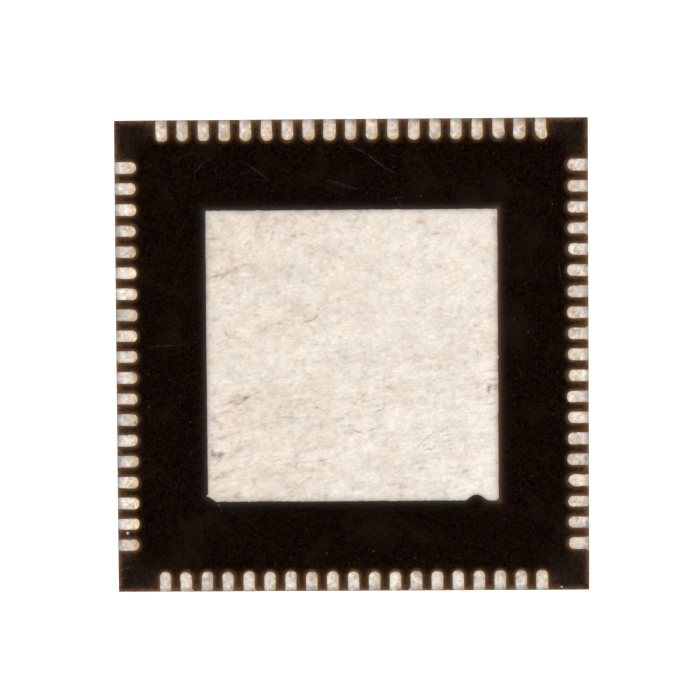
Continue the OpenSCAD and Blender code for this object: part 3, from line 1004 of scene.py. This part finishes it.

# %% [markdown]
# ## Four rows of leads
#
# All rows are drawn as the north row and then turned to their side. Each lead takes its own numbers
# from a seeded draw: width, tip, lean, smears and tone. The saw ran along the east and south sides
# last and smeared those leads most. The few leads that stand out on this package are listed one by one:
# a leaning end lead, square tips, burrs, a pointed tip.

# %% Numbers of the four rows
ROWS = {
    "north": {"turn": 0, "short": 0.022, "smear": 0.004, "tone": 0.87, "browning": 0.22,
              "warmth": 0.5, "side_warmth": 0.5, "tip_gain": -0.05},
    "west": {"turn": 90, "short": 0.017, "smear": 0.006, "tone": 0.90, "browning": 0.02,
             "warmth": 0.92, "side_warmth": -0.06, "tip_gain": 0.1},
    "south": {"turn": 180, "short": 0.045, "smear": 0.016, "tone": 0.89, "browning": 0.05,
              "warmth": 0.62, "side_warmth": -0.45, "tip_gain": 0.04},
    "east": {"turn": 270, "short": 0.022, "smear": 0.030, "tone": 0.90, "browning": 0.12,
             "warmth": 0.2, "side_warmth": 0.06, "tip_gain": -0.05},
}
ODD_LEADS = {
    ("north", 0): {"squareness": 3.2},
    ("north", 2): {"squareness": 3.4},
    ("north", 3): {"squareness": 3.2},
    ("north", 5): {"taper": 0.12},
    ("north", 8): {"half_width": 0.12},
    ("north", 18): {"lean": 0.035},
    ("south", 17): {"smear_left": 0.05},
    ("south", 14): {"smear_left": 0.05},
    ("south", 6): {"smear_right": 0.06},
    ("south", 1): {"smear_left": 0.04},
    ("east", 3): {"smear_left": 0.05, "smear_right": 0.045},
    ("east", 8): {"smear_left": 0.045, "smear_right": 0.04},
    ("east", 15): {"squareness": 1.6, "bulge": 0.1},
    ("east", 18): {"smear_right": 0.05},
}
print(len(ROWS), "rows with", len(ODD_LEADS), "odd leads")

# %% One lead of a row
WIDTH_SPREAD, TIP_SPREAD, LEAN_SPREAD = 0.003, 0.007, 0.006
SQUARENESS = (2.0, 2.6)
TAPER_MEAN, TAPER_SPREAD = 0.01, 0.02
TONE_SPREAD, WIDEST_DRAW = 0.06, 1.6


def one_lead(chance, name, lead):
    """Plan, foot and tone of one lead, from a seeded draw and from the list of odd leads."""
    row = ROWS[name]
    shape = {"half_width": plain_lead["half_width"] + chance.normal(0, WIDTH_SPREAD),
             "tip_y": plain_lead["tip_y"] + row["short"] + chance.normal(0, TIP_SPREAD),
             "squareness": chance.uniform(*SQUARENESS),
             "lean": chance.normal(0, LEAN_SPREAD),
             "taper": chance.normal(TAPER_MEAN, TAPER_SPREAD),
             "bulge": 0,
             "smear_left": chance.uniform(0, row["smear"]),
             "smear_right": chance.uniform(0, row["smear"])}
    shape.update(ODD_LEADS.get((name, lead), {}))
    foot = {**shape, "lean": 0, "taper": min(shape["taper"], 0),
            "half_width": max(shape["half_width"], plain_lead["half_width"]),
            "tip_y": min(shape["tip_y"], plain_lead["tip_y"])}
    draw = float(np.clip(chance.normal(), -WIDEST_DRAW, WIDEST_DRAW))
    return lead_plan(**shape), lead_plan(**foot), row["tone"] * (1 + TONE_SPREAD * draw)


print(f"tips of leads differ by about {1000 * TIP_SPREAD:.0f} micrometres")

# %% Four rows of leads
DRAW_SEED = 40
SKIN_SEED, SEEDS_PER_ROW, SKIN_SHIFT = 60, 6, 7

for number, (name, row) in enumerate(ROWS.items()):
    chance = np.random.default_rng(DRAW_SEED + number)
    turn = math.radians(row["turn"])
    points, faces, ends, tones, stains = [], [], [], [], []
    start = 0
    for lead in range(LEADS_IN_ROW):
        plan, foot, tone_here = one_lead(chance, name, lead)
        lead_points, lead_faces, end, tone_there, stain_there = lead_mesh(
            plan, foot, row, tone_here, SKIN_SEED + SEEDS_PER_ROW * number, SKIN_SHIFT * lead)
        across = lead_points[:, 0] + (lead - (LEADS_IN_ROW - 1) / 2) * LEAD_PITCH
        outwards = lead_points[:, 1]
        x = math.cos(turn) * across - math.sin(turn) * outwards
        y = math.sin(turn) * across + math.cos(turn) * outwards
        points.append(np.stack((x, y, lead_points[:, 2]), axis=-1))
        faces += [[start + corner for corner in face] for face in lead_faces]
        ends.append([start + corner for corner in end])
        tones.append(tone_there)
        stains.append(stain_there)
        start += len(lead_points)
    add_piece(f"lead_row_{name}", np.concatenate(points), faces + ends, (matte_tin, sawn_copper),
              (f"leads_{name}",), [0] * len(faces) + [1] * len(ends),
              {"tone": np.concatenate(tones), "stain": np.concatenate(stains)})

# %% [markdown]
# ## Mould compound
#
# Mould compound is black epoxy packed with fine glass. Its moulded faces are satin black with a fine
# grain, pale specks of filler and a few dusty places. It is greyer in the corners. A brown painted glow
# of the bright leads lies in the thin strips between the leads, most of all towards the sawn edge, and
# round each lead; a brown painted glow of the white floor runs along the sawn edges, and a pale painted
# glow of the bright pad lies round the pad. The four walls were sawn, so they are greyer and lined. The
# solid already has the right form, so it keeps its mesh and only gets this finish. The distance from
# the middle of the package tells the walls, the edges and the strip with the leads from the rest. For
# the glow round the leads the finish needs the distance to the nearest lead. The leads repeat at an
# even pitch, so a ping-pong sum folds a whole row onto one lead. The glow round the pad needs the
# distance to the pad, which is that to a square with a bell-shaped notch and a cut corner.

# %% Where on the moulding
EDGE_BAND = 0.2
WALL_SKIN = 0.002
ROW_MARGIN = 0.1
ROW_BAND = LEAD_LENGTH + ROW_MARGIN
ROW_FADE = (0.4, 0.075)
CORNER_START, CORNER_FADE = 3.75, 0.2
NARROWING = 4

mould_compound, shader = new_finish("mould_compound")
place = place_in_part(shader)
split = new_node(shader, "SeparateXYZ")
feed(place, split.inputs["Vector"])
out_x = arithmetic("ABSOLUTE", split.outputs["X"])
out_y = arithmetic("ABSOLUTE", split.outputs["Y"])
from_middle = arithmetic("MAXIMUM", out_x, out_y)
to_corner = arithmetic("MINIMUM", out_x, out_y)
on_wall = arithmetic("GREATER_THAN", from_middle, (HALF_BODY - WALL_SKIN) * MM)
to_edge = spread(from_middle, (HALF_BODY - EDGE_BAND) * MM, HALF_BODY * MM, 0, 1)
near_edge = arithmetic("POWER", to_edge, NARROWING)
in_row = spread(from_middle, (HALF_BODY - ROW_BAND) * MM, (HALF_BODY - ROW_BAND / 2) * MM, 0, 1)
in_corner = spread(to_corner, CORNER_START * MM, (CORNER_START + CORNER_FADE) * MM, 0, 1)
row_fade = spread(from_middle, *((HALF_BODY - inside) * MM for inside in ROW_FADE), 0, 1)
print("strip with the leads is", round(ROW_BAND, 2), "mm wide")

# %% How near a lead is on the moulding
LEAD_GLOW_REACH = 0.13


def diagonal(first, second):
    """The socket of the distance that two sides at a right angle span."""
    squares = [arithmetic("POWER", side, 2) for side in (first, second)]
    return arithmetic("SQRT", arithmetic("ADD", *squares))


half_lead = LEAD_WIDTH / 2
row_inside = HALF_BODY - LEAD_LENGTH
in_south = arithmetic("LESS_THAN", split.outputs["Y"], (LEAD_GLOW_REACH - row_inside) * MM)
round_starts = [(row_inside + half_lead + ROWS[name]["short"]) * MM for name in ("west", "south")]
round_start = spread(in_south, 0, 1, *round_starts)
beside_axis = arithmetic("PINGPONG", to_corner, LEAD_PITCH / 2 * MM)
to_round = arithmetic("SUBTRACT", round_start, from_middle)
before_round = arithmetic("MAXIMUM", to_round, 0)
from_lead = diagonal(beside_axis, before_round)
near_lead = spread(from_lead, half_lead * MM, (half_lead + LEAD_GLOW_REACH) * MM, 1, 0)
by_lead = arithmetic("LESS_THAN", to_corner, LEADS_IN_ROW * LEAD_PITCH / 2 * MM)
# share of the painted glow of the bright leads round each lead
lead_glow_share = arithmetic("MULTIPLY", by_lead, arithmetic("POWER", near_lead, NARROWING))
print("painted glow of the leads reaches out to", LEAD_GLOW_REACH, "mm from a lead")

# %% How near the pad is on the moulding
PAD_GLOW_REACH = 0.045
PAD_GLOW_EAST_BAND = 0.4

notch_ends = [(NOTCH_X + side * NOTCH_HALF) * MM for side in (-1, 1)]
notch_turn = spread(split.outputs["X"], *notch_ends, -math.pi, math.pi)
notch_wave = spread(arithmetic("COSINE", notch_turn), -1, 1, 0, NOTCH_DEPTH * MM)
south_half = arithmetic("LESS_THAN", split.outputs["Y"], 0)
pad_out_y = arithmetic("ADD", out_y, arithmetic("MULTIPLY", notch_wave, south_half))
past_sides = [arithmetic("SUBTRACT", out, HALF_PAD * MM) for out in (out_x, pad_out_y)]
past_pad = diagonal(*(arithmetic("MAXIMUM", past, 0) for past in past_sides))

cut_normal = Vector((CUT_Y, CUT_X)).normalized()
cut_level = cut_normal.dot(Vector((CUT_X - HALF_PAD, -HALF_PAD)))
along_axes = [arithmetic("MULTIPLY", split.outputs[axis], part) for axis, part in zip("XY", cut_normal)]
past_cut = arithmetic("SUBTRACT", cut_level * MM, arithmetic("ADD", *along_axes))
from_pad = arithmetic("MAXIMUM", past_pad, past_cut)

# share of the painted glow of the bright pad on the moulding
pad_glow_share = arithmetic("EXPONENT", arithmetic("DIVIDE", from_pad, -PAD_GLOW_REACH * MM))
in_east = spread(split.outputs["X"], (HALF_PAD - PAD_GLOW_EAST_BAND) * MM, HALF_PAD * MM, 0, 1)
print("painted glow round the pad halves every", round(PAD_GLOW_REACH * math.log(2), 3), "mm")

# %% Grain and filler of the mould compound
SPECK_SPACING, SPECK_RADIUS, SPECK_SHARE = 0.1, 0.26, 0.18
FINE_GRAIN, DUSTY_GRAIN = 0.045, 0.9

fine = spread(grain(place, FINE_GRAIN, 3), 0.36, 0.68, 0, 1)
dusty = spread(grain(place, DUSTY_GRAIN, 5), 0.52, 0.75, 0, 0.5)
cells = new_node(shader, "TexVoronoi")
cells.inputs["Scale"].default_value = 1 / (SPECK_SPACING * MM)
feed(place, cells.inputs["Vector"])
cell_draw = new_node(shader, "SeparateColor")
feed(cells.outputs["Color"], cell_draw.inputs["Color"])
dot = spread(cells.outputs["Distance"], SPECK_RADIUS / 2, SPECK_RADIUS, 1, 0)
chosen = arithmetic("LESS_THAN", cell_draw.outputs["Red"], SPECK_SHARE)
filler = arithmetic("MULTIPLY", dot, chosen)
print("filler shows in", round(100 * SPECK_SHARE), "percent of the cells")

# %% Faces of the mould compound
MOULD_DARK = (0.0007, 0.0001, 0.0001)
MOULD_LIGHT = (0.0069, 0.0029, 0.0012)
MOULD_DUST = (0.0095, 0.0065, 0.0045)
# painted glow of the bright leads on the strips between them, strongest towards the sawn edge
ROW_GLOW_INNER = (0.017, 0.007, 0.0025)
ROW_GLOW_OUTER = (0.046, 0.023, 0.012)
MOULD_CORNER = (0.0130, 0.0086, 0.0054)
FILLER_SPECK = (0.0095, 0.0068, 0.0050)
# painted glow of the white floor: a brown thread along the sawn edges
EDGE_GLOW_PAINTED = (0.21, 0.10, 0.048)
# painted glow of the bright leads round each lead
LEAD_GLOW_PAINTED = (0.115, 0.060, 0.027)
# painted glow of the bright pad round the pad, warmer on the east side
PAD_GLOW_PAINTED = (0.041, 0.034, 0.029)
EAST_PAD_GLOW_PAINTED = (0.085, 0.048, 0.030)

# painted glow between the leads; the corners keep their own grey
row_glow_and_corner_colour = blend_colours(row_fade, ROW_GLOW_INNER, ROW_GLOW_OUTER)
row_glow_and_corner_colour = blend_colours(in_corner, row_glow_and_corner_colour, MOULD_CORNER)
row_glow_share = arithmetic("MULTIPLY", in_row, spread(fine, 0, 1, 0.3, 1))
edge_share = arithmetic("MULTIPLY", near_edge, spread(fine, 0, 1, 0.4, 1))
face_colour = blend_colours(fine, MOULD_DARK, MOULD_LIGHT)
face_colour = blend_colours(dusty, face_colour, MOULD_DUST)
face_colour = blend_colours(row_glow_share, face_colour, row_glow_and_corner_colour)
face_colour = blend_colours(filler, face_colour, FILLER_SPECK)
pad_glow_colour = blend_colours(in_east, PAD_GLOW_PAINTED, EAST_PAD_GLOW_PAINTED)
face_colour = blend_colours(pad_glow_share, face_colour, pad_glow_colour)
# painted glow of the white floor along the sawn edges
face_colour = blend_colours(edge_share, face_colour, EDGE_GLOW_PAINTED)
face_colour = blend_colours(lead_glow_share, face_colour, LEAD_GLOW_PAINTED)
print("tones of the faces blended, with painted glow at the edges and round the leads")

# %% Walls of the mould compound
SAWN_DARK = (0.010, 0.0095, 0.009)
SAWN_LIGHT = (0.045, 0.042, 0.039)
WALL_LINE = 0.016
SKIN_GRAIN, SKIN_DEPTH = 0.04, 0.002
FACE_ROUGHNESS, WALL_ROUGHNESS = 0.28, 0.6

saw_lines = grain(place, WALL_LINE, 4, stretch=SAW_STRETCH)
wall_share = spread(saw_lines, 0.35, 0.65, 0, 1)
wall_colour = blend_colours(wall_share, SAWN_DARK, SAWN_LIGHT)
compound = blend_colours(on_wall, face_colour, wall_colour)
feed(compound, shader.inputs["Base Color"])
feed(spread(on_wall, 0, 1, FACE_ROUGHNESS, WALL_ROUGHNESS), shader.inputs["Roughness"])
shader.inputs["Specular IOR Level"].default_value = 0.035
bump(grain(place, SKIN_GRAIN, 4), SKIN_DEPTH, 0.25, shader)


def dress(node, finish):
    """Gives a solid of the frame its finish."""
    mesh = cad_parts[node].data
    mesh.materials.clear()
    mesh.materials.append(finish)


dress("mould_body", mould_compound)
print("finish:", mould_compound.name)

# %% [markdown]
# ## Scratches on the moulding
#
# The black faces carry a few faint scratches. A scratch in mould compound shows as a pale line,
# because its torn edges scatter light. Each scratch is a very low ridge that tapers at both ends,
# and it sits a micrometre or two proud of the face, so it holds up in close views from any side.
# How pale it is rides in its points, because three of them show more than the rest.

# %% Torn compound
SCRATCH_DARK, SCRATCH_PALE = (0.0045, 0.0025, 0.0015), (0.051, 0.044, 0.040)
SCRATCH_GRAIN = 0.06

torn_compound, shader = new_finish("torn_compound")
broken = spread(grain(place_in_part(shader), SCRATCH_GRAIN, 3), 0.4, 0.6, 0, 1)
pale_share = arithmetic("MULTIPLY", broken, stored(shader, "paleness"))
torn = blend_colours(pale_share, SCRATCH_DARK, SCRATCH_PALE)
feed(torn, shader.inputs["Base Color"])
shader.inputs["Roughness"].default_value = 0.7
shader.inputs["Specular IOR Level"].default_value = 0.05
print("finish:", torn_compound.name)

# %% Scratches on the moulding
FAINT, CLEAR, STRONG = 0.13, 0.6, 1.0
SCRATCHES = (
    ((-0.30, 4.18), (0.06, 3.99), 0.032, FAINT), ((-0.02, 4.01), (0.32, 3.82), 0.038, FAINT),
    ((0.30, 3.83), (0.59, 3.61), 0.045, FAINT), ((0.56, 3.63), (0.87, 3.44), 0.032, FAINT),
    ((-0.47, 3.34), (0.15, 3.15), 0.045, FAINT), ((-2.01, 3.69), (-1.54, 3.34), 0.029, FAINT),
    ((-2.99, 3.50), (-2.76, 3.72), 0.029, FAINT), ((-3.95, 0.18), (-3.14, 0.24), 0.022, FAINT),
    ((3.91, 1.81), (4.01, 1.29), 0.026, FAINT), ((-2.62, -2.78), (-2.50, -2.96), 0.026, STRONG),
    ((0.70, 2.97), (1.02, 3.02), 0.026, FAINT), ((-3.42, 3.72), (-2.86, 3.92), 0.022, FAINT),
    ((-4.20, -4.37), (-4.03, -4.34), 0.032, CLEAR), ((-4.37, -4.06), (-4.24, -4.01), 0.026, CLEAR),
)
SCRATCH_STEPS = 16
SCRATCH_RISE = 0.0015
WANDER_SEED, WANDER, WANDER_WAVES = 80, 0.012, 3
WIDTH_SEED, UNEVENNESS, WIDTH_WAVES = 95, 0.4, 12
END_SHARE, END_POWER = 0.04, 0.6

points, faces, paleness = [], [], []
for number, (start, end, half_width, pale) in enumerate(SCRATCHES):
    run = np.subtract(end, start)
    sideways = np.array((-run[1], run[0])) / np.hypot(*run)
    share = np.linspace(0, 1, SCRATCH_STEPS + 1)
    wander = WANDER * rough(share * WANDER_WAVES, share * 0, 1, WANDER_SEED + number)
    middle = np.array(start) + share[:, None] * run + wander[:, None] * sideways
    uneven = 1 + UNEVENNESS * rough(share * WIDTH_WAVES, share * 0, 1, WIDTH_SEED + number)
    tapered = np.sin(np.pi * share.clip(END_SHARE, 1 - END_SHARE)) ** END_POWER
    width = half_width * tapered * uneven
    base = len(points)
    paleness += [pale] * 3 * len(share)
    for centre, reach in zip(middle, width):
        left, right = centre + reach * sideways, centre - reach * sideways
        points += [(*left, Z_MOULDING - SCRATCH_RISE), (*centre, Z_MOULDING + SCRATCH_RISE),
                   (*right, Z_MOULDING - SCRATCH_RISE)]
    for step in range(SCRATCH_STEPS):
        here = base + 3 * step
        faces += [(here + a, here + b, here + 3 + b, here + 3 + a) for a, b in ((0, 1), (1, 2), (2, 0))]
    last = base + 3 * SCRATCH_STEPS
    faces += [(base + 2, base + 1, base), (last, last + 1, last + 2)]
add_piece("moulding_scratches", points, faces, (torn_compound,),
          values={"paleness": paleness})

# %% [markdown]
# ## Specks on the moulding
#
# Dust and crumbs lie on the black faces: grey specks all round the pad, a white crumb between two
# leads of the west row and a pale fleck on the south edge. Each is a small flat dome with an uneven
# outline, sunk a little into the face that it lies on. Spheres would stand up like beads when the
# package is seen from the side.

# %% Helpers for specks
DOME_SIDES = 12
DOME_RISE, DOME_SINK = 0.004, 0.002
SHOULDER_SHARE, SHOULDER_RISE = 0.65, 0.7
DOME_RAGGED = 0.35
CRUMB_GRAIN = 0.02


def add_dome(points, faces, middle, radius, slimness, seed):
    """Adds a flat dome with an uneven outline, closed at its foot."""
    turn = np.linspace(0, 2 * math.pi, DOME_SIDES, endpoint=False)
    reach = radius * (1 + DOME_RAGGED * rough(turn * 2, 0 * turn, 1, seed))
    base = len(points)
    for share, rise in ((1, -DOME_SINK), (SHOULDER_SHARE, SHOULDER_RISE * DOME_RISE)):
        x = middle[0] + share * reach * np.cos(turn)
        y = middle[1] + share * reach * np.sin(turn) * slimness
        points += [(*spot, Z_MOULDING + rise) for spot in zip(x, y)]
    points.append((*middle, Z_MOULDING + DOME_RISE))
    lower, upper = base + np.arange(DOME_SIDES), base + DOME_SIDES + np.arange(DOME_SIDES)
    top = base + 2 * DOME_SIDES
    faces += band(lower, upper)
    faces += [(int(a), int(b), top) for a, b in zip(upper, np.roll(upper, -1))]
    faces.append(lower[::-1].tolist())


def dust_finish(name, dark, light):
    """A dull, crumbly finish between two tones."""
    finish, shader = new_finish(name)
    crumbly = grain(place_in_part(shader), CRUMB_GRAIN, 3)
    share = spread(crumbly, 0.4, 0.6, 0, 1)
    feed(blend_colours(share, dark, light), shader.inputs["Base Color"])
    shader.inputs["Roughness"].default_value = 0.85
    shader.inputs["Specular IOR Level"].default_value = 0.2
    return finish


print("a dome has", DOME_SIDES, "sides")

# %% Specks on the moulding
GREY_SPECKS = (
    (1.32, 3.02), (0.85, 2.96), (-3.42, 3.02), (-3.33, 2.38), (-3.80, 1.81), (-3.89, -0.33),
    (-3.89, -0.96), (-3.61, -1.25), (-3.10, -1.25), (3.82, 2.86), (3.10, 0.66), (3.35, 0.43),
    (3.07, -0.77), (3.91, -0.33), (-0.51, -3.78), (0.38, -3.74), (1.19, -3.87), (-4.11, -1.40),
)
PALE_CRUMBS = (((-4.318, -3.374), 0.036, 1.0), ((3.97, -4.44), 0.028, 0.8))
SPECK_RADII = (0.014, 0.026)
DUST_SEED, SPECK_SEED, CRUMB_SEED = 77, 110, 140

grey_dust = dust_finish("grey_dust", (0.007, 0.006, 0.005), (0.018, 0.015, 0.013))
pale_dust = dust_finish("pale_dust", (0.13, 0.12, 0.11), (0.36, 0.33, 0.30))
chance = np.random.default_rng(DUST_SEED)
points, faces = [], []
for number, middle in enumerate(GREY_SPECKS):
    add_dome(points, faces, middle, chance.uniform(*SPECK_RADII), 1.0, SPECK_SEED + number)
add_piece("grey_specks", points, faces, (grey_dust,))
points, faces = [], []
for number, (middle, radius, slimness) in enumerate(PALE_CRUMBS):
    add_dome(points, faces, middle, radius, slimness, CRUMB_SEED + number)
add_piece("pale_crumbs", points, faces, (pale_dust,))

# %% [markdown]
# ## Inside the package
#
# Nothing inside shows, but a reader may lift the moulding off. The die is bare silicon, dark and
# glossy. It is glued down with an adhesive full of silver flakes, and gold wires run from it to the
# leads. These solids keep their meshes and get one finish each, made by one function from two tones,
# a grain size, a roughness and how much of a metal it is.

# %% Finishes inside the package
def inner_finish(name, dark, light, grain_mm, roughness, metallic):
    """A finish with a fine grain between two tones."""
    finish, shader = new_finish(name)
    fine_grain = grain(place_in_part(shader), grain_mm, 3)
    share = spread(fine_grain, 0.35, 0.65, 0, 1)
    feed(blend_colours(share, dark, light), shader.inputs["Base Color"])
    feed(spread(share, 0, 1, roughness * 1.2, roughness * 0.8), shader.inputs["Roughness"])
    shader.inputs["Metallic"].default_value = metallic
    return finish


bare_silicon = inner_finish("bare_silicon", (0.09, 0.10, 0.12), (0.14, 0.15, 0.18), 0.3, 0.15, 0.7)
silver_glue = inner_finish("silver_glue", (0.35, 0.35, 0.34), (0.60, 0.59, 0.57), 0.02, 0.5, 0.6)
gold_wire = inner_finish("gold_wire", (0.80, 0.50, 0.16), (0.93, 0.65, 0.24), 0.03, 0.25, 1.0)
dress("silicon_die", bare_silicon)
dress("die_attach", silver_glue)
for name in ROWS:
    dress(f"wires_{name}", gold_wire)
print("finishes:", bare_silicon.name, silver_glue.name, gold_wire.name)

# %% [markdown]
# ## Box of the dressed package
#
# The dressed pieces should keep to the box of the solids. Only the burrs on the sawn ends of the leads
# stand out of it, by a micrometre or two. The print gives how much larger the dressed package is
# than the box of the solids.

dressed_low, dressed_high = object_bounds()
growth = (dressed_high - dressed_low) - (cad_high - cad_low)
print("the dressed package is larger by, micrometres:", [round(1e6 * side, 1) for side in growth])
